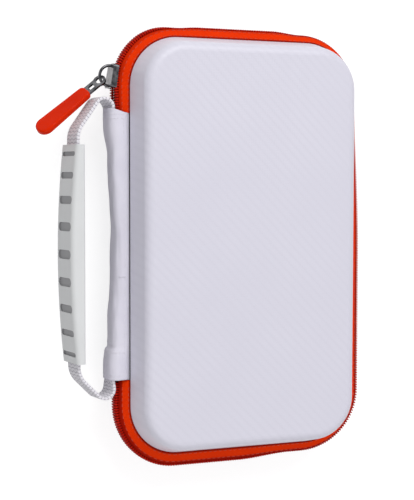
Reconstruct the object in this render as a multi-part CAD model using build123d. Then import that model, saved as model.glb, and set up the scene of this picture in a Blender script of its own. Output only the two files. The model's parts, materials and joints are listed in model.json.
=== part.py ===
from build123d import *
import math
import os

# Moulded shells, two alike, rim to rim across the zip band
rim_length = 182.0
rim_width = 106.0
rim_radius = 21.8
shell_depth = 13.2
shell_wall = 2.4
shell_draft = 15.0
shell_edge_radius = 4.4
shell_inner_radius = 2.8

# Zip band between the rims
band_height = 12.4
tape_thickness = 0.7
tape_reach = 4.4
tape_rim_margin = 0.2
tape_bend_radius = 1.0
coil_width = 2.8
coil_height = 1.8
coil_round = 0.6
chain_gap = 0.3

# Binding tape over the zip seam inside each rim
binding_thickness = 0.8
binding_height = 3.0
binding_lip = 1.2

# Fabric spine
gusset_corner_gap = 11.7
gusset_fabric = 0.7
gusset_bulge_middle = 5.9
gusset_bulge_end = 8.9
gusset_flare_end = 1.8
gusset_cuff = 8.0
gusset_shoulder = 17.0
gusset_bulge_shoulder = 7.6
gusset_flare_shoulder = 0.9
gusset_middle_half = 12.0
gusset_corner = 0.8
hinge_outset = 0.3
hinge_inset = 0.6
hinge_overlap = 0.1
fabric_clearance = 0.3

# Webbing handle
webbing_width = 11.0
webbing_thickness = 1.3
webbing_root_clearance = 0.7
webbing_root_length = 7.0
webbing_turn_radius = 4.2
webbing_turn_rise = 2.2
webbing_turn_drop = 3.6
webbing_bend_radius = 10.0
webbing_lead = 5.5
webbing_fit = 0.1
handle_lift = 8.0

# Moulded grip
grip_end_gap = 10.9
grip_shift = -2.6
grip_width = 17.0
grip_thickness_end = 3.8
grip_crown = 2.6
grip_stand_off = 24.3
grip_outer_radius = 2.2
grip_inner_radius = 1.2
slot_pairs = 4
slot_end_margin = 3.9
slot_crowding = 0.00635
slot_height = 3.9
slot_height_loss = 0.125
slot_length = 13.4
slot_depth = 0.9

# Zip slider, parked on the corner arc by the spine
slider_angle = 9.0
slider_length = 10.4
slider_flare = 0.6
slider_plate = 1.2
slider_clearance = 0.3
slider_flange_depth = 1.4
slider_flange_width = 0.8
slider_inner_width = 5.0
slider_inner_length = 9.0
slider_post_width = 1.8
slider_post_length = 2.4
slider_post_inset = 0.7
bridge_span = 8.8
bridge_rise = 4.3
bridge_bar = 1.3

# Zip parted between the slider and the spine
parting_clearance = 0.4
parting_end_half = 2.2

# Pull on the bridge
pull_lean = 13.3
pull_roll = 40.0
pull_on_arch = -35.0
eye_hole = 1.65
eye_rim = 1.15
eye_slack = 0.6
link_thickness = 1.0
link_width = 4.6
link_length = 7.6
link_tail = 5.0
link_window_inset = 1.6
link_window_length = 2.6
link_window_width = 2.0
tab_length = 28.0
tab_width_root = 6.2
tab_width_tip = 8.2
tab_thickness = 3.0
tab_edge_radius = 0.9
tab_shoulder_radius = 2.0
tab_overlap = 0.5

# Soft fittings inside
strap_width = 22.0
strap_thickness = 1.2
strap_edge_gap = 0.3
pocket_thickness = 0.8
pocket_depth = 2.6
pocket_open_edge = 18.0
hem_width = 6.0
hem_thickness = 1.8

# Derived places
half_width = rim_width / 2
half_length = rim_length / 2
band_half = band_height / 2
middle = shell_depth + band_half
band_reach = tape_reach + coil_height
case_height = 2 * shell_depth + band_height
corner_x = half_width - rim_radius
corner_y = half_length - rim_radius
gusset_half_length = corner_y - gusset_corner_gap
tape_end = gusset_half_length + fabric_clearance
hinge_x = -(half_width + hinge_outset)
hinge_half = band_half - hinge_inset
root_x = -(half_width + band_reach + webbing_root_clearance + webbing_thickness / 2)
grip_x = -(half_width + grip_stand_off)
grip_length = 2 * (gusset_half_length - grip_end_gap)
grip_top = grip_shift + grip_length / 2
grip_bottom = grip_shift - grip_length / 2
bridge_radius = ((bridge_span / 2) ** 2 + bridge_rise**2) / (2 * bridge_rise)
slider_face = rim_radius + band_reach + slider_clearance + slider_plate
bridge_centre = slider_face + bridge_rise - bridge_radius


def mirrored(piece):
    """The same piece on the other side of the zip's middle plane."""
    return mirror(piece, about=Plane.XY.offset(middle))


def drafted_block(grow, depth):
    """Rounded rectangle block that narrows from the back shell's rim towards its floor."""
    rim_plane = Plane(origin=(0, 0, shell_depth), z_dir=(0, 0, -1))
    face = rim_plane * RectangleRounded(rim_width + 2 * grow, rim_length + 2 * grow, rim_radius + grow)
    return extrude(face, amount=depth, taper=shell_draft)


def lowest_edges(solid):
    return solid.faces().sort_by(Axis.Z)[0].edges()


def make_back_shell():
    outer = drafted_block(0, shell_depth)
    outer = fillet(lowest_edges(outer), shell_edge_radius)
    inner = drafted_block(-shell_wall, shell_depth - shell_wall)
    inner = fillet(lowest_edges(inner), shell_inner_radius)
    return outer - inner


def zip_path():
    """Rim line from one end of the spine round to the other."""
    return FilletPolyline(
        (-half_width, tape_end, middle),
        (-half_width, half_length, middle),
        (half_width, half_length, middle),
        (half_width, -half_length, middle),
        (-half_width, -half_length, middle),
        (-half_width, -tape_end, middle),
        radius=rim_radius,
    )


def band_plane():
    """Section plane at the zip's first end: x is outwards from the rim, y is up."""
    return Plane(origin=(-half_width, tape_end, middle), x_dir=(-1, 0, 0), z_dir=(0, 1, 0))


def parting_wedge():
    """Space where the two tapes part between the slider's post and the spine."""
    chain_radius = rim_radius + band_reach
    slider_y = corner_y + chain_radius * math.sin(math.radians(slider_angle))
    post_start = slider_y - slider_length / 2 + slider_post_inset + slider_post_length
    half = slider_post_width / 2 + parting_clearance
    outline = Polyline(
        (post_start + half, 0),
        (post_start + parting_clearance, half),
        (tape_end - fabric_clearance, parting_end_half),
        (tape_end - fabric_clearance, -parting_end_half),
        (post_start + parting_clearance, -half),
        close=True,
    )
    face = Plane(origin=(-half_width, 0, middle), x_dir=(0, 1, 0), z_dir=(-1, 0, 0)) * make_face(outline)
    return extrude(face, amount=2 * band_reach, both=True)


def make_back_zip_tape():
    """Strip that lies on the rim's face, leans outwards and stands up behind the coil."""
    outer_line = FilletPolyline(
        (-shell_wall + tape_rim_margin, -band_half),
        (tape_rim_margin, -band_half),
        (tape_reach, -chain_gap / 2 - coil_width),
        (tape_reach, -chain_gap / 2),
        radius=tape_bend_radius,
    )
    strip = make_face(offset(outer_line, amount=tape_thickness, side=Side.LEFT))
    return sweep(band_plane() * strip, path=zip_path()) - parting_wedge()


def make_back_zip_coil():
    place = Pos(tape_reach + coil_height / 2, -(chain_gap + coil_width) / 2)
    section = band_plane() * (place * RectangleRounded(coil_height, coil_width, coil_round))
    return sweep(section, path=zip_path()) - parting_wedge()


def outline_ring(plane, outer, inner, height):
    big = RectangleRounded(rim_width + 2 * outer, rim_length + 2 * outer, rim_radius + outer)
    small = RectangleRounded(rim_width + 2 * inner, rim_length + 2 * inner, rim_radius + inner)
    return extrude(plane * (big - small), amount=height)


def make_back_rim_binding():
    """Angle strip: one leg down the inner wall, one lip over the tape's sewn edge."""
    outer = -shell_wall + tape_rim_margin + binding_lip
    inner = -shell_wall - binding_thickness
    leg = drafted_block(-shell_wall, binding_height) - drafted_block(inner, binding_height)
    lip_plane = Plane.XY.offset(shell_depth)
    lip = outline_ring(lip_plane, -shell_wall, inner, tape_thickness)
    cover = outline_ring(lip_plane.offset(tape_thickness), outer, inner, binding_thickness)
    return leg + lip + cover


def gusset_section(y, bulge, flare, inset):
    """Trapezoid channel section across the spine at one place along it."""
    half = hinge_half + hinge_overlap - inset
    depth = bulge - inset
    outline = Polyline(
        (-inset, half),
        (depth / 2, half + flare),
        (depth, half + flare - gusset_corner),
        (depth, -half - flare + gusset_corner),
        (depth / 2, -half - flare),
        (-inset, -half),
        close=True,
    )
    plane = Plane(origin=(hinge_x, y, middle), x_dir=(-1, 0, 0), z_dir=(0, 1, 0))
    return plane * make_face(outline)


def gusset_loft(inset, past_end):
    end = gusset_half_length + past_end
    cuff = gusset_half_length - gusset_cuff
    shoulder = gusset_half_length - gusset_shoulder
    stations = [
        (-end, gusset_bulge_end, gusset_flare_end),
        (-cuff, gusset_bulge_end, gusset_flare_end),
        (-shoulder, gusset_bulge_shoulder, gusset_flare_shoulder),
        (-gusset_middle_half, gusset_bulge_middle, 0.0),
        (gusset_middle_half, gusset_bulge_middle, 0.0),
        (shoulder, gusset_bulge_shoulder, gusset_flare_shoulder),
        (cuff, gusset_bulge_end, gusset_flare_end),
        (end, gusset_bulge_end, gusset_flare_end),
    ]
    return loft([gusset_section(y, bulge, flare, inset) for y, bulge, flare in stations], ruled=True)


def make_hinge_gusset():
    return gusset_loft(0.0, 0.0) - gusset_loft(gusset_fabric, fabric_clearance)


def turn_corner(side, lead_y):
    """Where the root line meets the line from the webbing's turn to the grip, produced."""
    centre_x = root_x - webbing_turn_radius
    past_end = webbing_turn_rise if side > 0 else webbing_turn_drop
    centre_y = side * (gusset_half_length + past_end)
    dx = grip_x - centre_x
    dy = lead_y - centre_y
    reach = math.hypot(dx, dy)
    bearing = math.atan2(dy, dx) - side * math.acos(webbing_turn_radius / reach)
    touch_x = centre_x + webbing_turn_radius * math.cos(bearing)
    touch_y = centre_y + webbing_turn_radius * math.sin(bearing)
    return touch_y + (root_x - touch_x) * (touch_y - lead_y) / (touch_x - grip_x)


def webbing_line(root_y):
    """Centre line of the webbing between the heights root_y on the two sides."""
    top = grip_top + webbing_lead
    bottom = grip_bottom - webbing_lead
    turn = webbing_turn_radius
    bend = webbing_bend_radius
    return FilletPolyline(
        (root_x, root_y, 0),
        (root_x, turn_corner(1, top), 0),
        (grip_x, top, 0),
        (grip_x, bottom, 0),
        (root_x, turn_corner(-1, bottom), 0),
        (root_x, -root_y, 0),
        radius=[turn, bend, bend, turn],
    )


def ribbon(line, thickness, width):
    """Flat band standing on edge along a line in the zip's middle plane."""
    return extrude(Plane.XY.offset(middle - width / 2) * trace(line, thickness), amount=width)


def lifted(piece):
    """The handle hangs a little above the zip's middle plane, turned about its roots' line."""
    return Pos(root_x, 0, middle) * Rot(0, handle_lift, 0) * Pos(-root_x, 0, -middle) * piece


def make_handle_webbing():
    line = webbing_line(gusset_half_length + fabric_clearance)
    return lifted(ribbon(line, webbing_thickness, webbing_width))


def make_strap_ends():
    ends = []
    for side in (1, -1):
        outer = side * gusset_half_length
        inner = side * (gusset_half_length - webbing_root_length)
        ends.append(ribbon(Line((root_x, inner, 0), (root_x, outer, 0)), webbing_thickness, webbing_width))
    return Compound(children=ends)


def slot_cutters():
    """Stadium cutters across the grip's outer face, smaller and closer towards the ends."""
    cutters = []
    outer_ends = grip_x - grip_thickness_end / 2
    slot_reach = grip_length / 2 - slot_end_margin
    slot_pitch = slot_reach / (slot_pairs * (1 - slot_crowding * slot_pairs**2))
    for step in range(-slot_pairs, slot_pairs + 1):
        y = grip_shift + slot_pitch * step * (1 - slot_crowding * step * step)
        height = slot_height - slot_height_loss * step * step
        rise = grip_crown * (1 - ((y - grip_shift) / (grip_length / 2)) ** 2)
        face = Plane(origin=(outer_ends - rise, y, middle), x_dir=(0, 0, 1), z_dir=(-1, 0, 0))
        cutters.append(extrude(face * SlotOverall(slot_length, height), amount=slot_depth, both=True))
    return cutters


def make_handle_grip():
    inner_x = grip_x + grip_thickness_end / 2
    outer_x = grip_x - grip_thickness_end / 2
    outline = make_face(
        [
            Line((inner_x, grip_top), (inner_x, grip_bottom)),
            Line((inner_x, grip_bottom), (outer_x, grip_bottom)),
            ThreePointArc((outer_x, grip_bottom), (outer_x - grip_crown, grip_shift), (outer_x, grip_top)),
            Line((outer_x, grip_top), (inner_x, grip_top)),
        ]
    )
    grip = extrude(Plane.XY.offset(middle - grip_width / 2) * outline, amount=grip_width)
    grip = fillet(grip.edges().filter_by(GeomType.CIRCLE), grip_outer_radius)
    inner_edges = grip.edges().filter_by(Axis.Y).filter_by(lambda edge: edge.center().X > grip_x)
    grip = fillet(inner_edges, grip_inner_radius)
    channel_line = Line((grip_x, grip_top + grip_length, 0), (grip_x, grip_bottom - grip_length, 0))
    channel = ribbon(channel_line, webbing_thickness + 2 * webbing_fit, webbing_width + 2 * webbing_fit)
    return lifted(grip - channel - slot_cutters())


def on_corner(piece):
    """From the slider's own axes (x outwards from the corner's centre) to its place on the corner."""
    return Pos(-corner_x, corner_y, middle) * Rot(0, 0, 180 - slider_angle) * piece


def make_zip_slider():
    """Plates inside and outside the chain, joined by a post, with an arched bridge."""
    plate_low = rim_radius + band_reach + slider_clearance
    front = slider_length / 2
    channel_half = chain_gap / 2 + coil_width + slider_clearance
    rear_half = channel_half + slider_flange_width
    front_half = rear_half + slider_flare
    plate_outline = Polyline(
        (-front, rear_half),
        (front, front_half),
        (front, -front_half),
        (-front, -rear_half),
        close=True,
    )
    face = Plane(origin=(plate_low, 0, 0), x_dir=(0, 1, 0), z_dir=(1, 0, 0)) * make_face(plate_outline)
    plate = extrude(face, amount=slider_plate)
    plate = fillet(plate.edges().filter_by(Axis.X), slider_plate)
    skirt = extrude(face, amount=-slider_flange_depth)
    skirt = fillet(skirt.edges().filter_by(Axis.X), slider_plate)
    skirt -= Pos(plate_low, 0, 0) * Box(2 * slider_flange_depth, 2 * slider_length, 2 * channel_half)
    tape_inner = rim_radius + tape_reach - tape_thickness
    inner_face = math.sqrt(tape_inner**2 - (slider_inner_length / 2) ** 2) - slider_clearance
    inner = Box(slider_plate, slider_inner_length, slider_inner_width)
    inner = Pos(inner_face - slider_plate / 2, 0, 0) * fillet(inner.edges().filter_by(Axis.X), slider_plate)
    post_y = front - slider_post_inset - slider_post_length / 2
    post = Box(plate_low - inner_face, slider_post_length, slider_post_width)
    post = Pos((plate_low + inner_face) / 2, post_y, 0) * post
    arch_line = ThreePointArc(
        (slider_face - bridge_bar / 2, -bridge_span / 2, 0),
        (slider_face + bridge_rise, 0, 0),
        (slider_face - bridge_bar / 2, bridge_span / 2, 0),
    )
    arch = sweep(Plane(origin=arch_line @ 0, z_dir=arch_line % 0) * Circle(bridge_bar / 2), path=arch_line)
    return on_corner(plate + skirt + inner + post + arch)


def on_bridge(piece):
    """From the pull's own axes (x along it from the eye, z through the eye) to its place on the bridge."""
    along = -pull_on_arch
    hook_x = bridge_centre + bridge_radius * math.cos(math.radians(along))
    hook_y = bridge_radius * math.sin(math.radians(along))
    lean = Rot(0, 0, along + pull_lean)
    roll = Rot(90 - pull_roll, 0, 0)
    return on_corner(Pos(hook_x, hook_y, 0) * lean * roll * Pos(eye_slack, 0, 0) * piece)


def link_bar():
    """Flat bar of the link, from its eye to the end of the tail inside the tab."""
    bar_length = link_length + link_tail - eye_hole
    return Pos(eye_hole + bar_length / 2, 0) * Rectangle(bar_length, link_width)


def make_pull_link():
    window_x = eye_hole + link_window_inset + link_window_length / 2
    window = Pos(window_x, 0) * Rectangle(link_window_length, link_window_width)
    face = Circle(eye_hole + eye_rim) + link_bar() - Circle(eye_hole) - window
    return on_bridge(extrude(face, amount=link_thickness / 2, both=True))


def make_pull_tab():
    start = link_length - tab_overlap
    end = start + tab_length
    tip_radius = tab_width_tip / 2
    outline = make_face(
        [
            Line((start, tab_width_root / 2), (end - tip_radius, tip_radius)),
            ThreePointArc((end - tip_radius, tip_radius), (end, 0), (end - tip_radius, -tip_radius)),
            Line((end - tip_radius, -tip_radius), (start, -tab_width_root / 2)),
            Line((start, -tab_width_root / 2), (start, tab_width_root / 2)),
        ]
    )
    tab = extrude(outline, amount=tab_thickness / 2, both=True)
    tab = fillet(tab.edges().filter_by(Axis.Z).group_by(Axis.X)[0], tab_shoulder_radius)
    flat_edges = tab.edges().group_by(Axis.Z)[0] + tab.edges().group_by(Axis.Z)[-1]
    tab = fillet(flat_edges, tab_edge_radius)
    tail = extrude(link_bar(), amount=link_thickness / 2, both=True)
    return on_bridge(tab - tail)


def make_console_strap():
    """Elastic strap laid across the back shell's floor, between its inner walls."""
    width = rim_width - 2 * (shell_wall + strap_edge_gap + shell_inner_radius)
    width -= 2 * (shell_depth - shell_wall) * math.tan(math.radians(shell_draft))
    return Pos(0, 0, shell_wall + strap_thickness / 2) * Box(width, strap_width, strap_thickness)


def pocket_sheet(thickness, depth):
    """Flat sheet in the lid that follows its inner wall, at a depth below the lid's inner face."""
    level = shell_depth - shell_wall - depth
    in_curve = max(shell_inner_radius - depth, 0.0)
    curl = shell_inner_radius - math.sqrt(shell_inner_radius**2 - in_curve**2)
    inset = -shell_wall - strap_edge_gap - curl
    return drafted_block(inset, level) - drafted_block(inset, level - thickness)


def make_mesh_pocket():
    sheet = pocket_sheet(pocket_thickness, pocket_depth)
    keep = Pos(0, pocket_open_edge - rim_length / 2, 0) * Box(rim_width, rim_length, 2 * case_height)
    return mirrored(sheet & keep)


def make_pocket_elastic():
    sheet = pocket_sheet(hem_thickness, pocket_depth - (hem_thickness - pocket_thickness) / 2)
    keep = Pos(0, pocket_open_edge + hem_width / 2, 0) * Box(rim_width, hem_width, 2 * case_height)
    return mirrored(sheet & keep)


def main():
    os.makedirs("parts", exist_ok=True)
    back_shell = make_back_shell()
    back_zip_tape = make_back_zip_tape()
    back_zip_coil = make_back_zip_coil()
    back_rim_binding = make_back_rim_binding()
    nodes = {
        "back_shell": back_shell,
        "back_zip_tape": back_zip_tape,
        "back_zip_coil": back_zip_coil,
        "back_rim_binding": back_rim_binding,
        "console_strap": make_console_strap(),
        "front_shell": mirrored(back_shell),
        "front_zip_tape": mirrored(back_zip_tape),
        "front_zip_coil": mirrored(back_zip_coil),
        "front_rim_binding": mirrored(back_rim_binding),
        "mesh_pocket": make_mesh_pocket(),
        "pocket_elastic": make_pocket_elastic(),
        "hinge_gusset": make_hinge_gusset(),
        "strap_ends": make_strap_ends(),
        "handle_webbing": make_handle_webbing(),
        "handle_grip": make_handle_grip(),
        "zip_slider": make_zip_slider(),
        "pull_link": make_pull_link(),
        "pull_tab": make_pull_tab(),
    }
    for name, shape in nodes.items():
        export_step(shape, f"parts/{name}.step")


main()
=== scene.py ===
import json
import math

import bpy
from mathutils import Matrix, Vector, noise

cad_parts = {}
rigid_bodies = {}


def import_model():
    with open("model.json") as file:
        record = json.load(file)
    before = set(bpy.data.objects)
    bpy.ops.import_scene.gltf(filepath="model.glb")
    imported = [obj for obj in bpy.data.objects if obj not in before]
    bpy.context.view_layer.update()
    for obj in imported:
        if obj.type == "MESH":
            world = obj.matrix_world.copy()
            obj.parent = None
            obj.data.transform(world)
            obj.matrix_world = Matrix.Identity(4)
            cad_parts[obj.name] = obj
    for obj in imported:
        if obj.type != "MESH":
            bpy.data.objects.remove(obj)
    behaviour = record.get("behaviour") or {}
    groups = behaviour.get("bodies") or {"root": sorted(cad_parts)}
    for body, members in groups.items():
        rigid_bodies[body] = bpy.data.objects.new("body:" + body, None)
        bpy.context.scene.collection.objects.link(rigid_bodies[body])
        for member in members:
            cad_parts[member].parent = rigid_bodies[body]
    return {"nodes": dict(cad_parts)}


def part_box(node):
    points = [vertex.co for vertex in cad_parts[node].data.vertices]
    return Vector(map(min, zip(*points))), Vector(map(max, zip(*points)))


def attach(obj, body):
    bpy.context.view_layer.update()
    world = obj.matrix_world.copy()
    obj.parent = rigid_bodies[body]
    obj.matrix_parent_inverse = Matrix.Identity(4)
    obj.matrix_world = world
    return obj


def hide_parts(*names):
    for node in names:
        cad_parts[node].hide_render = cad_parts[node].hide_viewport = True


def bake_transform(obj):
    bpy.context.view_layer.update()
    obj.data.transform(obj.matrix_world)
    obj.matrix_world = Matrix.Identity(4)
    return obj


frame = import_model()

for leftover in [o for o in bpy.data.objects if o.name in ("Cube", "Light", "Camera")]:
    bpy.data.objects.remove(leftover)
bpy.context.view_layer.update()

# Sizes in millimetres, read from the frame where it has them
MM = 0.001


def node_box(node):
    """Low and high corner of a node's box."""
    low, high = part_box(node)
    return low / MM, high / MM


shell_high = node_box("back_shell")[1]
lid_high = node_box("front_shell")[1]
tape_high = node_box("back_zip_tape")[1]
coil_high = node_box("back_zip_coil")[1]
gusset_high = node_box("hinge_gusset")[1]
binding_low = node_box("back_rim_binding")[0]
root_low, root_high = node_box("strap_ends")
grip_low, grip_high = node_box("handle_grip")
strap_low, strap_high = node_box("console_strap")
pocket_low, pocket_high = node_box("mesh_pocket")
hem_low, hem_high = node_box("pocket_elastic")

# Shells
half_width = shell_high.x
half_length = shell_high.y
middle = lid_high.z / 2
rim_radius = 21.8
corner_x = half_width - rim_radius
corner_y = half_length - rim_radius
shell_wall = 2.4
shell_draft = math.tan(math.radians(15.0))

# Spine and handle
gusset_end = gusset_high.y
hinge_x = gusset_high.x
root_x = (root_low.x + root_high.x) / 2
webbing_thickness = root_high.x - root_low.x
webbing_width = root_high.z - root_low.z
webbing_turn_radius = 4.2
grip_x = -half_width - 24.3
grip_thickness_end = 3.8
grip_crown = 2.6
handle_lift = math.radians(8.0)

# Zip
band_half = middle - shell_high.z
tape_thickness = 0.7
tape_end = gusset_end + 0.3
slider_along = corner_y + math.radians(9.0) * rim_radius
parting_at_spine = 2.2
parting_at_slider = 1.3
chain_half_gap = middle - coil_high.z
chain_line = tape_high.x - half_width + 0.7
tooth_pitch = 1.15
tooth_radius = 0.34
thread_radius = 0.16

# Slack of the zip's cloth: where its change starts and ends along the side, and its share at both
RIGHT_SLACK = (-6.0, 84.0, 0.63, 0.07)
BOTTOM_SLACK = (0.0, 25.0, 0.51, 0.21)
TOP_SLACK = (-34.0, -20.0, 0.0, 0.17)
TOP_RIGHT_SLACK = (16.0, 30.0, 0.0, -0.22)
CORNER_SLACK = -0.1

# Tuck of the zip's outer edge, which starts past the slider at the top
PAST_SLIDER = (-48.0, -26.0, 0.0, 1.0)
TUCK_SHARE = 0.8
TUCK_START = 3.4


# Mesh helpers
def link(name, mesh, material):
    """Smooth object made from a mesh, in its material."""
    mesh.materials.append(material)
    for polygon in mesh.polygons:
        polygon.use_smooth = True
    piece = bpy.data.objects.new(name, mesh)
    bpy.context.scene.collection.objects.link(piece)
    return piece


def grid_piece(name, rows, material, uv_of, wrap=False, caps=False):
    """Quads between neighbouring rows of points in millimetres; wrap closes each row into a ring."""
    count = len(rows[0])
    across = count if wrap else count - 1
    faces = []
    uvs = []
    for i in range(len(rows) - 1):
        for j in range(across):
            corners = [(i, j), (i, j + 1), (i + 1, j + 1), (i + 1, j)]
            faces.append([a * count + b % count for a, b in corners])
            uvs.extend(uv_of(a, b) for a, b in corners)
    if caps:
        for a, order in ((0, range(count - 1, -1, -1)), (len(rows) - 1, range(count))):
            faces.append([a * count + b for b in order])
            uvs.extend(uv_of(a, b) for b in order)
    mesh = bpy.data.meshes.new(name)
    mesh.from_pydata([Vector(p) * MM for row in rows for p in row], [], faces)
    layer = mesh.uv_layers.new(name="UVMap")
    for loop, uv in zip(layer.data, uvs):
        loop.uv = uv
    return link(name, mesh, material)


def tubes_piece(name, routes, radius, material, sides=6):
    """One mesh of tubes, each along its own list of points in millimetres with shares of the radius."""
    points = []
    faces = []
    for route in routes:
        first = len(points)
        for i, (place, share) in enumerate(route):
            before = Vector(route[max(i - 1, 0)][0])
            after = Vector(route[min(i + 1, len(route) - 1)][0])
            along = (after - before).normalized()
            side = side - along * side.dot(along) if i else along.orthogonal()
            side = side.normalized()
            up = along.cross(side)
            for k in range(sides):
                turn = 2 * math.pi * k / sides
                spoke = side * math.cos(turn) + up * math.sin(turn)
                points.append((Vector(place) + spoke * radius * share) * MM)
        for i in range(len(route) - 1):
            for k in range(sides):
                a = first + i * sides + k
                b = first + i * sides + (k + 1) % sides
                faces.append((a, b, b + sides, a + sides))
        faces.append(tuple(first + k for k in range(sides - 1, -1, -1)))
        end = first + (len(route) - 1) * sides
        faces.append(tuple(end + k for k in range(sides)))
    mesh = bpy.data.meshes.new(name)
    mesh.from_pydata(points, [], faces)
    return link(name, mesh, material)


# Stitch's points: share of its length, lift in thread radii, share of the thread's radius
STITCH_ARCH = (
    (-0.5, -0.9, 0.55),
    (-0.32, -0.1, 0.95),
    (0.0, 0.25, 1.0),
    (0.32, -0.1, 0.95),
    (0.5, -0.9, 0.55),
)


def stitch_route(centre, along, normal, length, radius):
    """A thread's visible loop: it rises out of the cloth and goes in again."""
    route = []
    for share, lift, thick in STITCH_ARCH:
        place = Vector(centre) + Vector(along) * share * length + Vector(normal) * lift * radius
        route.append((place, thick))
    return route


def stitch_between(here, ahead, over, length, radius):
    """Stitch at a point, lying towards the point ahead and rising towards the point over it."""
    along = (ahead - here).normalized()
    normal = (over - here).normalized()
    return stitch_route(here, along, normal, length, radius)


def smooth_step(low, high, value):
    """0 below low, 1 above high and smooth in between."""
    t = min(max((value - low) / (high - low), 0.0), 1.0)
    return t * t * (3 - 2 * t)


def fade(value, start, end, first, last):
    """Share that goes smoothly from first to last while a value goes from start to end."""
    return first + (last - first) * smooth_step(start, end, value)


def mirror_z(place):
    """Point mirrored in the zip's middle plane."""
    return Vector((place[0], place[1], 2 * middle - place[2]))


def laying(half):
    """How points of the back half are laid on a half: as they are, or mirrored for the lid."""
    return mirror_z if half == "lid" else Vector


# Line round the case
def loop_length(grow):
    """Length of the rim's outline grown by grow."""
    return 4 * (corner_x + corner_y) + 2 * math.pi * (rim_radius + grow)


def loop_at(along, grow):
    """Point and outward direction on the rim's outline grown by grow, from the spine's middle clockwise."""
    radius = rim_radius + grow
    arc = radius * math.pi / 2
    pieces = (
        (corner_y, (-half_width - grow, 0), (0, 1), (-1, 0)),
        (arc, (-corner_x, corner_y), 180, 90),
        (2 * corner_x, (-corner_x, half_length + grow), (1, 0), (0, 1)),
        (arc, (corner_x, corner_y), 90, 0),
        (2 * corner_y, (half_width + grow, corner_y), (0, -1), (1, 0)),
        (arc, (corner_x, -corner_y), 0, -90),
        (2 * corner_x, (corner_x, -half_length - grow), (-1, 0), (0, -1)),
        (arc, (-corner_x, -corner_y), -90, -180),
        (corner_y, (-half_width - grow, -corner_y), (0, 1), (-1, 0)),
    )
    left = along % loop_length(grow)
    for length, origin, first, second in pieces:
        if left <= length:
            break
        left -= length
    if isinstance(first, tuple):
        point = Vector((origin[0] + first[0] * left, origin[1] + first[1] * left))
        return point, Vector(second)
    turn = math.radians(first + (second - first) * left / length)
    outward = Vector((math.cos(turn), math.sin(turn)))
    return Vector(origin) + outward * radius, outward


def on_band(along, out, height, grow=0.0):
    """Point at a distance out from the rim and a height from the zip's middle plane, on the back half."""
    point, outward = loop_at(along, grow)
    right = max(outward.x, 0.0)
    up = max(outward.y, 0.0)
    down = max(-outward.y, 0.0)
    top_slack = fade(point.x, *TOP_SLACK) + fade(point.x, *TOP_RIGHT_SLACK)
    slack = fade(point.y, *RIGHT_SLACK) * right**2 + fade(point.x, *BOTTOM_SLACK) * down**2
    slack += top_slack * up**2 + CORNER_SLACK * right * up
    tucked = right**2 + down**2 + up**2 * fade(point.x, *PAST_SLIDER)
    tuck = TUCK_SHARE * tucked * max(out - TUCK_START, 0.0)
    place = point + outward * (out + max(out, 0.0) * slack - tuck - grow)
    return Vector((place.x, place.y, middle - height))


def parting(along):
    """Half the opening between the two zip halves, which part from the slider to the spine."""
    rear = slider_along - 3.0
    front = slider_along + 3.5
    if along < rear:
        share = (along - tape_end) / (rear - tape_end)
        return parting_at_spine + (parting_at_slider - parting_at_spine) * max(share, 0.0)
    return parting_at_slider * (1 - smooth_step(rear, front, along))


def zip_level(along, height):
    """Height in the tape's section once the parting has pressed it towards the rim."""
    full = band_half - chain_half_gap
    squeeze = (full - parting(along)) / full
    return band_half - (band_half - height) * squeeze


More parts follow.
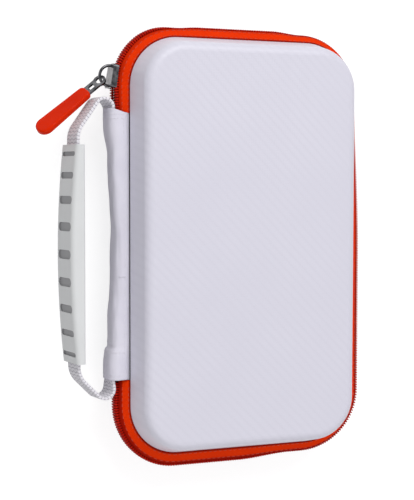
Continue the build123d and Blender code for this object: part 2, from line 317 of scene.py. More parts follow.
# Shader helper
class Shader:
    """A material's node tree, with short ways to add the nodes used here."""

    def __init__(self, name, roughness, **sockets):
        self.material = bpy.data.materials.new(name)
        self.material.use_nodes = True
        self.tree = self.material.node_tree
        self.bsdf = self.tree.nodes["Principled BSDF"]
        self.bsdf.inputs["Roughness"].default_value = roughness
        for socket, value in sockets.items():
            self.bsdf.inputs[socket.replace("_", " ")].default_value = value
        self.coords = self.tree.nodes.new("ShaderNodeTexCoord")

    def feed(self, socket, value):
        """Link a socket to another node's, or set its value."""
        if isinstance(value, bpy.types.NodeSocket):
            self.tree.links.new(value, socket)
        elif hasattr(value, "__len__") and len(value) == 3 and socket.type == "RGBA":
            socket.default_value = (*value, 1.0)
        else:
            socket.default_value = value

    def math(self, operation, first, second=0.0):
        node = self.tree.nodes.new("ShaderNodeMath")
        node.operation = operation
        self.feed(node.inputs[0], first)
        self.feed(node.inputs[1], second)
        return node.outputs[0]

    def split(self, vector):
        node = self.tree.nodes.new("ShaderNodeSeparateXYZ")
        self.feed(node.inputs[0], vector)
        return node.outputs[0], node.outputs[1], node.outputs[2]

    def noise(self, scale, detail=2.0, roughness=0.5, vector=None):
        node = self.tree.nodes.new("ShaderNodeTexNoise")
        self.feed(node.inputs["Vector"], vector or self.coords.outputs["Object"])
        self.feed(node.inputs["Scale"], scale)
        self.feed(node.inputs["Detail"], detail)
        self.feed(node.inputs["Roughness"], roughness)
        return node.outputs[0]

    def ramp(self, value, low, high):
        """Value taken from the range low to high onto 0 to 1."""
        node = self.tree.nodes.new("ShaderNodeMapRange")
        self.feed(node.inputs["Value"], value)
        self.feed(node.inputs["From Min"], low)
        self.feed(node.inputs["From Max"], high)
        return node.outputs[0]

    def mix(self, factor, first, second):
        node = self.tree.nodes.new("ShaderNodeMix")
        node.data_type = "RGBA"
        self.feed(node.inputs["Factor"], factor)
        self.feed(node.inputs[6], first)
        self.feed(node.inputs[7], second)
        return node.outputs[2]

    def mix_value(self, factor, first, second):
        node = self.tree.nodes.new("ShaderNodeMix")
        self.feed(node.inputs["Factor"], factor)
        self.feed(node.inputs[2], first)
        self.feed(node.inputs[3], second)
        return node.outputs[0]

    def dot(self, first, second):
        node = self.tree.nodes.new("ShaderNodeVectorMath")
        node.operation = "DOT_PRODUCT"
        self.feed(node.inputs[0], first)
        self.feed(node.inputs[1], second)
        return node.outputs["Value"]

    def bump(self, height, strength, distance):
        """Height map in units of distance millimetres, laid over the bump that is there already."""
        node = self.tree.nodes.new("ShaderNodeBump")
        self.feed(node.inputs["Strength"], strength)
        self.feed(node.inputs["Distance"], distance * MM)
        self.feed(node.inputs["Height"], height)
        target = self.bsdf.inputs["Normal"]
        if target.is_linked:
            self.feed(node.inputs["Normal"], target.links[0].from_socket)
        self.feed(target, node.outputs[0])

    def cell(self, value, period):
        """Number of the cell that a value is in."""
        return self.math("FLOOR", self.math("DIVIDE", value, period))

    def crown(self, value, period):
        """Rounded height across the cell that a value is in."""
        share = self.math("FRACT", self.math("DIVIDE", value, period))
        across = self.math("SUBTRACT", share, 0.5)
        squared = self.math("MULTIPLY", across, across)
        return self.math("SUBTRACT", 1.0, self.math("MULTIPLY", squared, 4.0))

    def twill(self, u, v, pitch, repeat=4, over=2):
        """Weave height: warp and weft cells that step one cell along at each row."""
        diagonal = self.math("ADD", self.cell(u, pitch), self.cell(v, pitch))
        step = self.math("FLOORED_MODULO", diagonal, repeat)
        warp_on_top = self.math("LESS_THAN", step, over)
        return self.mix_value(warp_on_top, self.crown(v, pitch), self.crown(u, pitch))

    def colour(self, value):
        self.feed(self.bsdf.inputs["Base Color"], value)

    def uv(self):
        """Unfolded place on a strip in millimetres: along it and across it."""
        return self.split(self.coords.outputs["UV"])[:2]

    def place(self):
        """Place on the object in metres."""
        return self.split(self.coords.outputs["Object"])


# Materials
def shell_material():
    """Embossed skin outside, with painted shade in the grooves of its ribs; knitted lining inside."""
    s = Shader("shell_skin", 0.42)
    x, y, z = s.place()
    from_middle = s.tree.nodes.new("ShaderNodeCombineXYZ")
    s.feed(from_middle.inputs[0], x)
    s.feed(from_middle.inputs[1], y)
    s.feed(from_middle.inputs[2], s.math("SUBTRACT", z, middle * MM))
    facing = s.dot(from_middle.outputs[0], s.coords.outputs["Normal"])
    outside = s.math("GREATER_THAN", facing, 0.0)
    blotch = s.ramp(s.noise(28.0, 3.0), 0.3, 0.7)
    skin = s.mix(blotch, (0.735, 0.72, 0.81), (0.765, 0.75, 0.84))
    rib = s.crown(s.math("ADD", x, y), 4.5 * MM)
    # Painted shade in the grooves between the embossed ribs.
    skin = s.mix(s.ramp(rib, 0.0, 1.4), (0.725, 0.71, 0.80), skin)
    knit = s.crown(s.math("ADD", y, z), 1.1 * MM)
    lining = s.mix(knit, (0.10, 0.10, 0.105), (0.17, 0.17, 0.175))
    s.colour(s.mix(outside, lining, skin))
    s.feed(s.bsdf.inputs["Roughness"], s.mix_value(outside, 0.9, 0.40))
    weave = s.twill(x, y, 1.1 * MM)
    s.bump(s.math("MULTIPLY", weave, outside), 0.25, 0.08)
    s.bump(s.math("MULTIPLY", rib, outside), 0.2, 0.1)
    s.bump(s.noise(1400.0, 2.0), 0.12, 0.05)
    return s.material


def tape_material():
    """Twill tape, with painted shade beside the chain, strongest towards the bottom, and a painted shadow
    along the rim.
    """
    s = Shader("zip_tape", 0.85, Specular_IOR_Level=0.05)
    u, v = s.uv()
    weave = s.twill(u, v, 0.55)
    fleck = s.noise(2600.0, 2.0)
    patch = s.ramp(s.noise(120.0, 3.0), 0.3, 0.7)
    thread = s.mix(weave, (0.74, 0.024, 0.001), (1.0, 0.050, 0.001))
    # Lighter random flecks in the weave.
    flecked = s.mix(s.ramp(fleck, 0.6, 0.85), thread, (1.0, 0.09, 0.008))
    plain = s.mix(s.math("MULTIPLY", patch, 0.35), flecked, (0.74, 0.024, 0.001))
    y = s.place()[1]
    # Painted shade beside the chain: full towards the bottom, under half strength at the top.
    lower = s.mix_value(s.ramp(y, 60.0 * MM, -40.0 * MM), 0.45, 1.0)
    painted_chain_shade = s.math("MULTIPLY", s.ramp(v, 5.7, 6.3), lower)
    # Painted shadow on the tape along the rim.
    painted_rim_shadow = s.ramp(v, 3.3, 2.5)
    plain = s.mix(painted_rim_shadow, plain, (0.24, 0.004, 0.001))
    s.colour(s.mix(painted_chain_shade, plain, (0.40, 0.008, 0.001)))
    s.bump(weave, 0.6, 0.12)
    return s.material


def teeth_material():
    """Smooth moulded teeth, a little uneven in tone."""
    s = Shader("zip_coil", 0.45, Specular_IOR_Level=0.12)
    tone = s.ramp(s.noise(300.0, 2.0), 0.3, 0.7)
    s.colour(s.mix(tone, (0.46, 0.006, 0.001), (0.62, 0.014, 0.001)))
    s.bump(s.noise(2200.0, 2.0), 0.1, 0.05)
    return s.material


def gusset_material():
    """Plain weave."""
    s = Shader("gusset_fabric", 0.85, Sheen_Weight=0.15)
    u, v = s.uv()
    weave = s.twill(u, v, 0.42, 2, 1)
    cloud = s.ramp(s.noise(70.0, 3.0), 0.3, 0.7)
    base = s.mix(cloud, (0.72, 0.70, 0.79), (0.79, 0.77, 0.85))
    s.colour(s.mix(s.math("MULTIPLY", weave, 0.25), base, (0.84, 0.82, 0.90)))
    s.bump(weave, 0.35, 0.08)
    return s.material


def webbing_material():
    """Chevron rows across the band, each row of separate thick yarns, with painted shade in the gaps
    between them.
    """
    s = Shader("webbing", 0.82, Sheen_Weight=0.2)
    u, v = s.uv()
    fold = s.math("PINGPONG", v, 1.85)
    slant = s.math("ADD", u, s.math("MULTIPLY", fold, 0.35))
    ridge = s.math("POWER", s.math("ABSOLUTE", s.crown(slant, 1.55)), 0.5)
    yarn = s.math("POWER", s.math("ABSOLUTE", s.crown(v, 1.25)), 0.3)
    body = s.math("MULTIPLY", ridge, yarn)
    pale = s.mix(s.noise(500.0, 2.0), (0.84, 0.82, 0.87), (0.92, 0.90, 0.94))
    # Painted shade in the gaps between the yarns.
    s.colour(s.mix(s.ramp(body, 0.2, 0.7), (0.44, 0.42, 0.47), pale))
    s.bump(body, 0.8, 0.35)
    return s.material


def grip_material():
    """Matt moulded rubber, with painted shade on each slot's floor."""
    s = Shader("grip_rubber", 0.55)
    x, y, z = s.place()
    half = (grip_high.y - grip_low.y) / 2
    centre = (grip_high.y + grip_low.y) / 2
    out = s.math("SUBTRACT", x, root_x * MM)
    up = s.math("SUBTRACT", z, middle * MM)
    cosine = math.cos(handle_lift)
    sine = math.sin(handle_lift)
    flat_out = s.math("SUBTRACT", s.math("MULTIPLY", out, cosine), s.math("MULTIPLY", up, sine))
    flat_up = s.math("ADD", s.math("MULTIPLY", out, sine), s.math("MULTIPLY", up, cosine))
    end_face = grip_x - grip_thickness_end / 2 - root_x
    share = s.math("DIVIDE", s.math("SUBTRACT", y, centre * MM), half * MM)
    fall = s.math("MULTIPLY", share, share)
    rise = s.math("MULTIPLY", s.math("SUBTRACT", 1.0, fall), grip_crown * MM)
    below = s.math("ADD", s.math("SUBTRACT", flat_out, end_face * MM), rise)
    deep = s.math("GREATER_THAN", below, 0.45 * MM)
    in_depth = s.math("MULTIPLY", deep, s.math("LESS_THAN", below, 1.3 * MM))
    in_width = s.math("LESS_THAN", s.math("ABSOLUTE", flat_up), 7.0 * MM)
    in_length = s.math("LESS_THAN", s.math("ABSOLUTE", share), 0.96)
    floor = s.math("MULTIPLY", s.math("MULTIPLY", in_depth, in_width), in_length)
    tone = s.ramp(s.noise(60.0, 3.0), 0.3, 0.7)
    rubber = s.mix(tone, (0.73, 0.74, 0.74), (0.77, 0.78, 0.78))
    # Painted shade on the floor of each slot.
    s.colour(s.mix(floor, rubber, (0.36, 0.36, 0.37)))
    s.bump(s.noise(1800.0, 2.0), 0.15, 0.04)
    return s.material


def metal_material():
    """Dark plated metal, with painted highlights in random lighter patches."""
    s = Shader("slider_metal", 0.24, Metallic=1.0)
    painted_highlight = s.ramp(s.noise(420.0, 4.0), 0.35, 0.75)
    # Lighter patches painted as highlights.
    s.colour(s.mix(painted_highlight, (0.07, 0.07, 0.075), (0.26, 0.26, 0.27)))
    s.feed(s.bsdf.inputs["Roughness"], s.mix_value(painted_highlight, 0.14, 0.30))
    s.bump(s.noise(900.0, 2.0), 0.05, 0.03)
    return s.material


def tab_material():
    """Glossy moulded rubber."""
    s = Shader("tab_rubber", 0.14, Specular_IOR_Level=0.06)
    tone = s.ramp(s.noise(90.0, 3.0), 0.3, 0.7)
    s.colour(s.mix(tone, (0.68, 0.019, 0.001), (0.75, 0.025, 0.001)))
    s.bump(s.noise(1500.0, 2.0), 0.08, 0.03)
    return s.material


def binding_material():
    """Grosgrain: ribs across the strip."""
    s = Shader("binding", 0.8)
    rib = s.crown(s.uv()[0], 0.7)
    s.colour(s.mix(rib, (0.33, 0.33, 0.35), (0.52, 0.52, 0.55)))
    s.bump(rib, 0.6, 0.15)
    return s.material


def elastic_material():
    """Ribs along the band, crossed by its knitted rows."""
    s = Shader("elastic", 0.85)
    u, v = s.uv()
    rib = s.crown(v, 1.1)
    stitch = s.crown(u, 0.6)
    body = s.math("MULTIPLY", rib, stitch)
    s.colour(s.mix(body, (0.03, 0.03, 0.033), (0.085, 0.085, 0.09)))
    s.bump(body, 0.7, 0.2)
    return s.material


def net_material():
    """Dark knotted yarn."""
    s = Shader("net", 0.7)
    s.colour(s.mix(s.noise(700.0, 2.0), (0.06, 0.06, 0.063), (0.13, 0.13, 0.135)))
    s.bump(s.noise(2500.0, 2.0), 0.3, 0.06)
    return s.material


def thread_material(name, dark, light):
    """Sewing thread between two tones."""
    s = Shader(name, 0.55, Sheen_Weight=0.2)
    s.colour(s.mix(s.noise(900.0, 2.0), dark, light))
    s.bump(s.noise(3000.0, 1.0), 0.3, 0.05)
    return s.material


SHELL = shell_material()
TAPE = tape_material()
TEETH = teeth_material()
GUSSET = gusset_material()
WEBBING = webbing_material()
GRIP = grip_material()
METAL = metal_material()
TAB = tab_material()
BINDING = binding_material()
ELASTIC = elastic_material()
NET = net_material()
ORANGE_THREAD = thread_material("orange_thread", (0.50, 0.025, 0.002), (0.80, 0.06, 0.006))
WHITE_THREAD = thread_material("white_thread", (0.70, 0.68, 0.75), (0.86, 0.84, 0.90))
GREY_THREAD = thread_material("grey_thread", (0.22, 0.22, 0.24), (0.36, 0.36, 0.38))


def dress_cad_nodes():
    """Materials for the nodes that are shown as they come from the CAD."""
    coats = {
        "front_shell": SHELL,
        "back_shell": SHELL,
        "handle_grip": GRIP,
        "zip_slider": METAL,
        "pull_link": METAL,
        "pull_tab": TAB,
    }
    for node, material in coats.items():
        frame["nodes"][node].material_slots[0].material = material


# Zip tape's outer face from the rim to the chain: out from the rim, height from the middle plane
TAPE_LINE = (
    (-2.2, 6.2),
    (-1.0, 6.2),
    (0.0, 6.18),
    (0.5, 5.98),
    (1.5, 5.20),
    (2.5, 4.42),
    (3.5, 3.62),
    (4.22, 2.92),
    (4.4, 2.2),
    (4.4, 1.15),
)


def tape_profile():
    """Ring of (out, height) round the tape: outer face one way, inner face back."""
    outer = [Vector(p) for p in TAPE_LINE]
    inner = []
    for i, point in enumerate(outer):
        along = outer[min(i + 1, len(outer) - 1)] - outer[max(i - 1, 0)]
        inward = Vector((along.y, -along.x)).normalized()
        inner.append(point + inward * tape_thickness)
    return outer + inner[::-1]


def blend_half(piece):
    """The zip half's place is baked into its mesh."""
    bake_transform(piece)


def make_tape(half, prefix):
    """Bent tape from one end of the spine to the other."""
    laid = laying(half)
    profile = tape_profile()
    length = loop_length(0.0)
    count = 360
    ripple_height = 0.05
    ripple_row = 3.0 if half == "lid" else 7.0
    rows = []
    stations = []
    for i in range(count + 1):
        along = tape_end + (length - 2 * tape_end) * i / count
        stations.append(along)
        ripple = ripple_height * noise.noise(Vector((along * 0.11, ripple_row, 0)))
        ring = []
        for out, height in profile:
            bow = ripple * smooth_step(0.2, 2.0, out)
            ring.append(laid(on_band(along, out + bow, zip_level(along, height))))
        rows.append(ring)
    widths = [0.0]
    for first, second in zip(profile, profile[1:] + profile[:1]):
        widths.append(widths[-1] + (second - first).length)

    def uv_of(a, b):
        return stations[a], widths[b]

    tape = grid_piece(prefix + "_tape", rows, TAPE, uv_of, wrap=True, caps=True)
    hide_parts(prefix + "_zip_tape")
    blend_half(tape)


# Tooth's loop: out from the rim, height from the middle plane, share of its radius
TOOTH_LOOP = (
    (4.3, 2.45, 0.8),
    (5.1, 2.62, 1.0),
    (5.7, 2.3, 1.0),
    (5.85, 1.4, 1.0),
    (5.75, 0.4, 1.1),
    (5.3, -0.05, 1.15),
    (4.8, 0.15, 1.1),
    (4.5, 0.8, 0.9),
)

# Core that the teeth wind round, placed in the same way
CORE_OUT = 5.05
CORE_HEIGHT = 1.4
CORE_SHARE = 1.6


def make_teeth(half, prefix):
    """Coil of one half of the chain; the lid's stands half a pitch further along."""
    laid = laying(half)
    chain_length = loop_length(chain_line)
    shift = 0.5 if half == "lid" else 0.0
    first_tooth = tape_end + 0.8
    teeth = []
    core = []
    for k in range(int((chain_length - 2 * first_tooth) / tooth_pitch)):
        along = first_tooth + (k + shift) * tooth_pitch
        rim_along = along
        if along > corner_y:
            rim_along = corner_y + (along - corner_y) * rim_radius / (rim_radius + chain_line)
        gap = parting(min(rim_along, 2 * corner_y)) if along < chain_length / 2 else 0.0
        route = []
        for out, height, share in TOOTH_LOOP:
            route.append((laid(on_band(along, out, height + gap, chain_line)), share))
        teeth.append(route)
        core.append((laid(on_band(along, CORE_OUT, CORE_HEIGHT + gap, chain_line)), CORE_SHARE))
    chain = tubes_piece(prefix + "_teeth", teeth + [core], tooth_radius, TEETH)
    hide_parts(prefix + "_zip_coil")
    blend_half(chain)


# Rows of stitches on the tape: out from the rim, height from the middle plane
TAPE_SEAMS = ((0.8, 5.76), (3.1, 3.96))


def make_tape_sewing(half, prefix):
    """Stitches along the tape, each rising square to its slanted face."""
    laid = laying(half)
    pitch = 2.4
    run = loop_length(0.0) - 2 * tape_end
    seams = []
    for out, height in TAPE_SEAMS:
        for k in range(int((run - 2) / pitch)):
            along = tape_end + 1.5 + k * pitch
            level = zip_level(along, height)
            here = laid(on_band(along, out, level))
            ahead = laid(on_band(along + 0.2, out, level))
            over = laid(on_band(along, out + 0.62, level + 0.78))
            seams.append(stitch_between(here, ahead, over, 1.7, thread_radius))
    sewing = tubes_piece(prefix + "_tape_sewing", seams, thread_radius, ORANGE_THREAD, 5)
    blend_half(sewing)


def zip_half(half, prefix):
    """Tape, teeth and sewing of one zip half; the lid's is the back one's mirror image."""
    make_tape(half, prefix)
    make_teeth(half, prefix)
    make_tape_sewing(half, prefix)


# Fabric spine: how far it stands out, its half width, and what its shoulders and ends add to them
spine_bulge = 5.9
shoulder_bulge = 1.7
end_bulge = 1.3
spine_half = 5.7
shoulder_flare = 0.9
end_flare = 0.9
spine_boxiness = 0.55

# Cuff at its lower end, the crease above the cuff, folds in the cloth, and its sewing
cuff_lift = 0.4
crease_depth = 0.4
crease_y = -43.2
crease_width = 1.1
fold_length = 17.0
fold_height = 0.55
fine_fold_height = 0.25
spine_thread_radius = 0.15
END_SEAMS = {1: (57.2, 55.4), -1: (-55.6, -45.6)}


def spine_size(y):
    """How far the spine stands out and how far it flares, narrow in the middle and full at the ends."""
    shoulder = smooth_step(2.0, 44.0, abs(y))
    end = smooth_step(40.0, 52.0, abs(y))
    bulge = spine_bulge + shoulder_bulge * shoulder + end_bulge * end
    flare = shoulder_flare * shoulder + end_flare * end
    return bulge, flare


def spine_point(y, v, lift=0.0):
    """Point of the spine's cloth: v runs from the back shell's edge (-1) round to the lid's (1)."""
    bulge, flare = spine_size(y)
    half = spine_half + flare * (1 - abs(v) ** 6)
    turn = v * math.pi / 2
    x = bulge * math.cos(turn) ** spine_boxiness if abs(v) < 1 else 0.0
    z = half * math.copysign(abs(math.sin(turn)) ** spine_boxiness, v)
    cuff = cuff_lift * smooth_step(43.7, 44.4, -y)
    crease = crease_depth * math.exp(-(((y - crease_y) / crease_width) ** 2))
    place = Vector((y / fold_length, v * 1.3, 2.0))
    folds = fold_height * noise.noise(place) + fine_fold_height * noise.noise(place * 2.7)
    loose = 1 - 0.6 * smooth_step(40.0, 48.0, abs(y))
    free = 1 - abs(v) ** 4
    out = (cuff + folds * loose - crease) * free + lift
    return Vector((hinge_x - x - out * math.cos(turn), y, middle + z + out * math.sin(turn)))


def make_spine_cloth():
    """Sheet from rim to rim, with a collar at its upper end."""
    along = 180
    across = 44
    cloth_width = 24.0
    rows = []
    for i in range(along + 1):
        row = []
        for j in range(across + 1):
            v = -1 + 2 * j / across
            collar = 0.3 + 2.0 * (1 - abs(v) ** 3)
            row.append(spine_point(-gusset_end + (2 * gusset_end + collar) * i / along, v))
        rows.append(row)

    def uv_of(a, b):
        return a * 2 * gusset_end / along, b * cloth_width / across

    cloth = grid_piece("spine_cloth", rows, GUSSET, uv_of)
    thicken = cloth.modifiers.new("cloth", "SOLIDIFY")
    thicken.thickness = 0.7 * MM
    thicken.offset = -1
    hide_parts("hinge_gusset")
    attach(cloth, "spine")


def make_spine_sewing():
    """Two seams across each end, one along each rim, and a short tuck beside the lid's rim."""
    end_stitches = 13
    end_reach = 0.9
    rim_stitches = 38
    rim_pitch = 3.0
    rim_line = 0.93
    sewing = []
    for side in (1, -1):
        for y in END_SEAMS[side]:
            for k in range(end_stitches):
                v = -end_reach + 2 * end_reach * k / (end_stitches - 1)
                here = spine_point(y, v)
                ahead = spine_point(y, v + 0.02)
                over = spine_point(y, v, 1.0)
                sewing.append(stitch_between(here, ahead, over, 1.35, spine_thread_radius))
        for k in range(rim_stitches):
            y = -gusset_end + 2.0 + k * rim_pitch
            v = side * rim_line
            here = spine_point(y, v)
            ahead = spine_point(y + 0.2, v)
            over = spine_point(y, v, 1.0)
            sewing.append(stitch_between(here, ahead, over, 2.0, 0.13))
    tuck = [(spine_point(-12.8, 0.62 + 0.32 * k / 6, 0.12), 1.0) for k in range(7)]
    sewing.append(tuck)
    thread = tubes_piece("spine_sewing", sewing, spine_thread_radius, WHITE_THREAD, 5)
    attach(thread, "spine")


# Webbing handle
def rounded_route(corners, radii, step):
    """Points along a line of runs whose corners are rounded with the given radii."""
    points = [Vector(corners[0])]
    for before, here, after, radius in zip(corners, corners[1:], corners[2:], radii):
        here = Vector(here)
        back = (Vector(before) - here).normalized()
        ahead = (Vector(after) - here).normalized()
        half = back.angle(ahead) / 2
        reach = radius / math.tan(half)
        centre = here + (back + ahead).normalized() * radius / math.sin(half)
        start = here + back * reach
        end = here + ahead * reach
        sweep = math.pi - 2 * half
        count = max(int(sweep * radius / step), 2)
        first = start - centre
        side = 1 if first.cross(end - centre) > 0 else -1
        for k in range(count + 1):
            turn = Matrix.Rotation(side * sweep * k / count, 2)
            points.append(centre + turn @ first)
    points.append(Vector(corners[-1]))
    spaced = []
    for first, second in zip(points, points[1:]):
        count = max(int((second - first).length / step), 1)
        spaced.extend(first + (second - first) * k / count for k in range(count))
    return spaced + [points[-1]]


# How far past the spine's upper and lower end the webbing turns
TURN_PAST_SPINE = {1: 2.2, -1: 3.6}


def turn_corner(side, lead_y):
    """Where the root line meets the line from the webbing's turn to the grip, produced."""
    centre_x = root_x - webbing_turn_radius
    centre_y = side * (gusset_end + TURN_PAST_SPINE[side])
    dx = grip_x - centre_x
    dy = lead_y - centre_y
    bearing = math.atan2(dy, dx) - side * math.acos(webbing_turn_radius / math.hypot(dx, dy))
    touch_x = centre_x + webbing_turn_radius * math.cos(bearing)
    touch_y = centre_y + webbing_turn_radius * math.sin(bearing)
    return touch_y + (root_x - touch_x) * (touch_y - lead_y) / (touch_x - grip_x)


def lifted(point, width, turn):
    """Point at a width from the zip's middle plane, turned about the handle's root line."""
    out = point.x - root_x
    x = root_x + out * math.cos(turn) + width * math.sin(turn)
    return (x, point.y, middle - out * math.sin(turn) + width * math.cos(turn))


def webbing_ring():
    """Ring of (normal, width) round the webbing's section: two flat faces and two rounded edges."""
    edge = webbing_thickness / 2
    rounding = edge * 0.6
    flat_end = webbing_width / 2 - rounding
    arc = [math.pi * (k / 4 - 0.5) for k in range(5)]
    flat = [flat_end * (1 - k / 6) for k in range(1, 12)]
    ring = [(-edge * math.sin(turn), flat_end + rounding * math.cos(turn)) for turn in arc]
    ring += [(-edge, width) for width in flat]
    ring += [(edge * math.sin(turn), -flat_end - rounding * math.cos(turn)) for turn in arc]
    ring += [(edge, -width) for width in flat]
    return ring


def make_webbing():
    """One band from root to root, in the zip's plane at the roots and raised from there to the grip."""
    lead = 5.5
    lead_radius = 10.0
    top = grip_high.y + lead
    bottom = grip_low.y - lead
    root = root_high.y - 7.0
    corners = [
        (root_x, root),
        (root_x, turn_corner(1, top)),
        (grip_x, top),
        (grip_x, bottom),
        (root_x, turn_corner(-1, bottom)),
        (root_x, -root),
    ]
    radii = [webbing_turn_radius, lead_radius, lead_radius, webbing_turn_radius]
    route = rounded_route(corners, radii, 0.8)
    ring = webbing_ring()
    stations = [0.0]
    for first, second in zip(route, route[1:]):
        stations.append(stations[-1] + (second - first).length)
    rows = []
    for i, point in enumerate(route):
        along = (route[min(i + 1, len(route) - 1)] - route[max(i - 1, 0)]).normalized()
        outward = Vector((-along.y, along.x))
        from_root = min(stations[i], stations[-1] - stations[i])
        turn = handle_lift * smooth_step(5.0, 12.0, from_root)
        rows.append([lifted(point + outward * n, w, turn) for n, w in ring])

    def uv_of(a, b):
        return stations[a], ring[b % len(ring)][1] + webbing_width / 2

    band = grid_piece("handle_band", rows, WEBBING, uv_of, wrap=True, caps=True)
    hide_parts("handle_webbing", "strap_ends")
    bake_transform(band)


# Inside: places of the binding's back and face off the wall, and of its fold over the rim
binding_back = -0.1
binding_face = -0.85
binding_depth = shell_high.z - binding_low.z
pocket_middle = (pocket_low.z + pocket_high.z) / 2
BINDING_FOLD = (
    (-2.2, -0.75),
    (-1.1, -0.8),
    (-0.95, -1.15),
    (-1.2, -1.5),
    (-2.6, -1.5),
    (-3.15, -1.1),
)


def inner_line(depth, grow):
    """How far inside the rim the shell's inner wall stands at a depth below the rim."""
    return -shell_wall - depth * shell_draft + grow


def binding_outline():
    """Ring of (out, height) round the strip: up its back, over the rim and down its face."""
    outline = []
    for k in range(7):
        down = binding_depth * (1 - k / 6)
        outline.append((inner_line(down, binding_back), band_half + down))
    outline.extend((out, band_half + over) for out, over in BINDING_FOLD)
    for k in range(7):
        down = binding_depth * k / 6
        outline.append((inner_line(down, binding_face), band_half + down))
    return outline


def make_binding(half, prefix):
    """Strip all the way round inside a rim, its lower edge a little wavy, and its seam."""
    laid = laying(half)
    length = loop_length(0.0)
    outline = binding_outline()
    count = 300
    wobble_height = 0.12
    rows = []
    for i in range(count + 1):
        along = length * i / count
        wobble = wobble_height * noise.noise(Vector((along * 0.09, 11.0, 0)))
        row = []
        for out, height in outline:
            level = height + wobble if height > band_half + 2 else height
            row.append(laid(on_band(along, out, level)))
        rows.append(row)

    def uv_of(a, b):
        return length * a / count, b * 0.9

    strip = grid_piece(prefix + "_binding", rows, BINDING, uv_of, wrap=True)
    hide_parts(prefix + "_rim_binding")
    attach(strip, half)

    pitch = 3.2
    down = binding_depth - 1.2
    seam_line = inner_line(down, binding_face - 0.02)
    seams = []
    for k in range(int(length / pitch)):
        along = k * pitch
        here = laid(on_band(along, seam_line, band_half + down))
        ahead = laid(on_band(along + 0.2, seam_line, band_half + down))
        over = laid(on_band(along, seam_line - 1.0, band_half + down))
        seams.append(stitch_between(here, ahead, over, 2.2, thread_radius))
    sewing = tubes_piece(prefix + "_binding_sewing", seams, thread_radius, GREY_THREAD, 5)
    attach(sewing, half)


def flat_band(name, low, high, material, bow):
    """Elastic band along X in the box between two corners, a little bowed and with round edges."""
    count = 90
    sides = 48
    centre_y = (low.y + high.y) / 2
    centre_z = (low.z + high.z) / 2
    half_y = (high.y - low.y) / 2
    half_z = (high.z - low.z) / 2
    ring = []
    for k in range(sides):
        turn = 2 * math.pi * k / sides
        y = math.copysign(abs(math.cos(turn)) ** 0.25, math.cos(turn)) * half_y
        z = math.copysign(abs(math.sin(turn)) ** 0.5, math.sin(turn)) * half_z
        ring.append((y, z))
    rows = []
    for i in range(count + 1):
        share = i / count
        x = low.x + (high.x - low.x) * share
        lift = bow * math.sin(math.pi * share)
        neck = 1 - 0.05 * math.sin(math.pi * share)
        rows.append([(x, centre_y + y * neck, centre_z + z + lift) for y, z in ring])

    def uv_of(a, b):
        return a * (high.x - low.x) / count, ring[b % sides][0]

    return grid_piece(name, rows, material, uv_of, wrap=True, caps=True)


def make_strap():
    """Elastic strap across the back shell, sewn down with two seams at each end."""
    band = flat_band("holding_strap", strap_low, strap_high, ELASTIC, 0.25)
    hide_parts("console_strap")
    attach(band, "base")
    margin = 2.2
    seam_width = strap_high.y - strap_low.y - 2 * margin
    seams = []
    for side in (1, -1):
        for inset in (2.5, 6.5):
            x = side * (strap_high.x - inset)
            for k in range(9):
                place = (x, strap_low.y + margin + k * seam_width / 8, strap_high.z + 0.02)
                seams.append(stitch_route(place, (0, 1, 0), (0, 0, 1), 1.6, thread_radius))
    sewing = tubes_piece("holding_strap_sewing", seams, thread_radius, GREY_THREAD, 5)
    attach(sewing, "base")


def inside_pocket(x, y, margin):
    """Whether a point is inside the pocket's outline, less a margin."""
    radius = rim_radius - (half_width - pocket_high.x)
    dx = max(abs(x) - corner_x, 0.0)
    dy = max(abs(y) - corner_y, 0.0)
    return math.hypot(dx, dy) < radius - margin and y < pocket_high.y + 1.0


def net_point(x, y):
    """Point of the net, which hangs lowest on its middle line."""
    share = (x / pocket_high.x) ** 2
    return (x, y, pocket_middle - 0.25 * (1 - share))


def make_net():
    """Knotted net of six-sided meshes."""
    cell = 3.4
    side = cell / math.sqrt(3)
    rise = cell * math.sqrt(3) / 2
    margin = 0.8
    row_stretch = 1.155
    knot_share = 1.2
    yarn_share = 0.8
    columns = int(pocket_high.x / (1.5 * cell / 2)) + 2
    rows = int((pocket_high.y - pocket_low.y) / rise) + 2
    strands = []
    for i in range(-columns, columns + 1):
        for j in range(rows + 1):
            x = i * 1.5 * side
            y = pocket_low.y + (j + 0.5 * (i % 2)) * rise * row_stretch
            corners = []
            for k in range(4):
                turn = math.radians(60 * k)
                corners.append((x + side * math.cos(turn), y + side * math.sin(turn)))
            for first, second in zip(corners, corners[1:]):
                if inside_pocket(*first, margin) and inside_pocket(*second, margin):
                    half_way = ((first[0] + second[0]) / 2, (first[1] + second[1]) / 2)
                    strand = ((first, knot_share), (half_way, yarn_share), (second, knot_share))
                    strands.append([(net_point(*place), share) for place, share in strand])
    net = tubes_piece("net_pocket", strands, 0.24, NET, 5)
    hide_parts("mesh_pocket")
    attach(net, "lid")


# Section of the strip that holds the net's edge: out from the pocket's outline, up from its middle
BORDER_RING = (
    (-2.4, 0.1),
    (-2.4, -0.45),
    (-0.9, -0.5),
    (0.0, -0.3),
    (0.0, 0.3),
    (-0.9, 0.5),
    (-2.4, 0.45),
)


def make_net_border():
    """Narrow strip along the net's edge, from the hem's right end round the bottom to its left end."""
    grow = pocket_high.x - half_width
    top_run = 2 * (math.pi / 2 * (rim_radius + grow) + corner_x)
    right_start = corner_y + top_run + corner_y - pocket_high.y
    left_end = loop_length(grow) + pocket_high.y
    run = left_end - right_start
    count = 200
    rows = []
    for i in range(count + 1):
        point, outward = loop_at(right_start + run * i / count, grow)
        rows.append([Vector((*(point + outward * out), pocket_middle + up)) for out, up in BORDER_RING])

    def uv_of(a, b):
        return run * a / count, b

    edging = grid_piece("net_pocket_border", rows, BINDING, uv_of, wrap=True, caps=True)
    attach(edging, "lid")


def make_hem():
    """Elastic hem along the pocket's mouth."""
    hem = flat_band("pocket_hem", hem_low, hem_high, ELASTIC, -0.15)
    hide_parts("pocket_elastic")
    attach(hem, "lid")


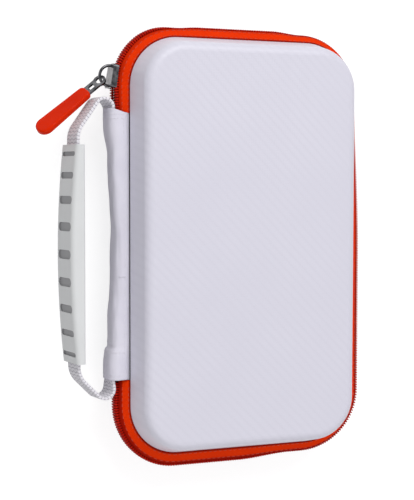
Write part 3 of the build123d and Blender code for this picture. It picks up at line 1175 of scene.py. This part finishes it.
# Setting
def make_floor():
    """Matt floor with a glow that the camera and reflections see, and that lights nothing else."""
    reach = 4.0
    corners = [(-reach, -reach, 0), (reach, -reach, 0), (reach, reach, 0), (-reach, reach, 0)]
    mesh = bpy.data.meshes.new("floor")
    mesh.from_pydata(corners, [], [(0, 1, 2, 3)])
    floor = bpy.data.objects.new("floor", mesh)
    floor.location.z = -0.4 * MM
    bpy.context.scene.collection.objects.link(floor)
    s = Shader("floor", 0.9)
    s.colour((0.42, 0.42, 0.42))
    path = s.tree.nodes.new("ShaderNodeLightPath").outputs
    mirrored = s.math("MAXIMUM", path["Is Glossy Ray"], path["Is Transmission Ray"])
    seen = s.math("MAXIMUM", path["Is Camera Ray"], mirrored)
    s.feed(s.bsdf.inputs["Emission Color"], (1.0, 1.0, 1.0))
    s.feed(s.bsdf.inputs["Emission Strength"], s.math("MULTIPLY", seen, 0.74))
    mesh.materials.append(s.material)


def area_light(name, place, aim, size, watts):
    """Round lamp at a place, turned to the point it is aimed at."""
    lamp = bpy.data.lights.new(name, "AREA")
    lamp.shape = "DISK"
    lamp.size = size
    lamp.energy = watts
    rig = bpy.data.objects.new(name, lamp)
    rig.location = place
    rig.rotation_euler = (Vector(aim) - Vector(place)).to_track_quat("-Z", "Y").to_euler()
    bpy.context.scene.collection.objects.link(rig)


def make_light():
    """Even studio light, with a key from the far end and a weaker fill from the near one."""
    world = bpy.data.worlds.new("studio")
    bpy.context.scene.world = world
    world.use_nodes = True
    background = world.node_tree.nodes["Background"]
    background.inputs["Color"].default_value = (0.98, 0.98, 1.0, 1)
    background.inputs["Strength"].default_value = 0.53
    aim = (0, 0, 0.02)
    area_light("key", (0.1, 1.0, 1.0), aim, size=1.0, watts=10.0)
    area_light("fill", (-0.3, -1.1, 1.1), aim, size=1.2, watts=4.5)


def make_camera():
    """Photograph's viewing angle, with the frame's long side taken as 500 pixels."""
    side_turn = math.radians(22.0)
    end_turn = math.radians(3.24)
    roll = math.radians(0.1)
    distance = 0.5553
    focal_pixels = 1240.0
    frame_pixels = 500.0
    target = Vector((-0.0148, -0.0022, middle * MM))
    back = Vector((
        -math.sin(side_turn) * math.cos(end_turn),
        math.sin(end_turn),
        math.cos(side_turn) * math.cos(end_turn),
    ))
    level_right = Vector((0, 1, 0)).cross(back).normalized()
    level_up = back.cross(level_right)
    right = level_right * math.cos(roll) + level_up * math.sin(roll)
    up = level_up * math.cos(roll) - level_right * math.sin(roll)
    camera = bpy.data.cameras.new("camera")
    camera.lens = camera.sensor_width * focal_pixels / frame_pixels
    camera.clip_start = 0.01
    eye = bpy.data.objects.new("camera", camera)
    turned = Matrix((right, up, back)).transposed().to_4x4()
    eye.matrix_world = Matrix.Translation(target + back * distance) @ turned
    bpy.context.scene.collection.objects.link(eye)
    bpy.context.scene.camera = eye


dress_cad_nodes()
zip_half("base", "back")
zip_half("lid", "front")
make_spine_cloth()
make_spine_sewing()
make_webbing()
make_binding("base", "back")
make_binding("lid", "front")
make_strap()
make_net()
make_net_border()
make_hem()
make_floor()
make_light()
make_camera()
bpy.context.scene.view_settings.view_transform = "Standard"
